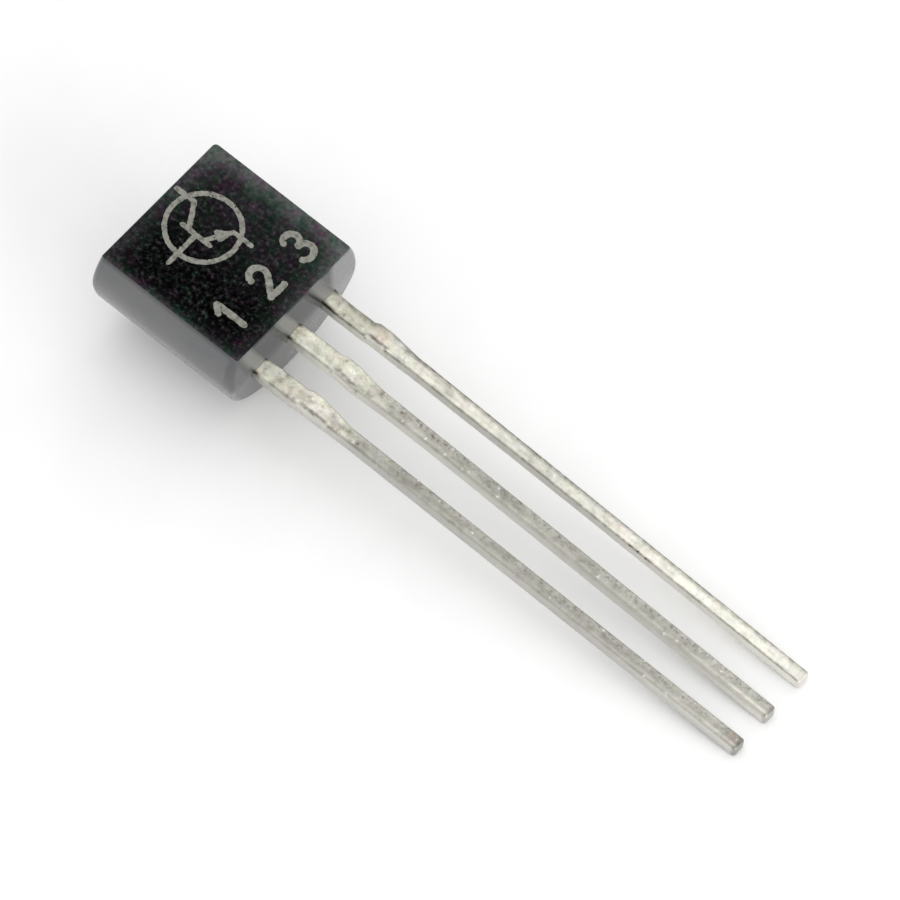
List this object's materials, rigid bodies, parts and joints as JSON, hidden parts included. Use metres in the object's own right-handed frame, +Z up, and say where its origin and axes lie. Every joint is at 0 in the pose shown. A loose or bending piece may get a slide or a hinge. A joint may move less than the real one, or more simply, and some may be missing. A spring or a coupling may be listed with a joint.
{
  "type": "to-92 transistor",
  "caption": "Small D-shaped moulded transistor with a flat marking face, a round back and a row of straight tin-plated leads, lying on its back and lead tips.",
  "frame": {"origin": "middle of the bounding box at the surface that the part lies on", "axes": "+X along the leads towards their tips, +Z up, out of the flat face"},
  "size_m": [0.0194, 0.0046, 0.0036],
  "materials": {
    "moulding_compound": "black epoxy moulding compound, fine matte grain on the flat face, smoother and greyer on the sides and ends",
    "tinned_lead": "dull tin plating with fine speckle, small pits and a few bright spots",
    "silicon": "polished silicon chip, sealed inside",
    "attach_adhesive": "silver-filled die-attach adhesive, sealed inside",
    "bond_wire": "fine gold wire, sealed inside",
    "marking_ink": "thin pale grey marking ink"
  },
  "bodies": {
    "root": {"epoxy_body": "moulding_compound", "emitter_lead": "tinned_lead", "base_lead": "tinned_lead", "collector_lead": "tinned_lead", "silicon_die": "silicon", "die_attach": "attach_adhesive", "base_bond_wire": "bond_wire", "emitter_bond_wire": "bond_wire"}
  },
  "joints": []
}
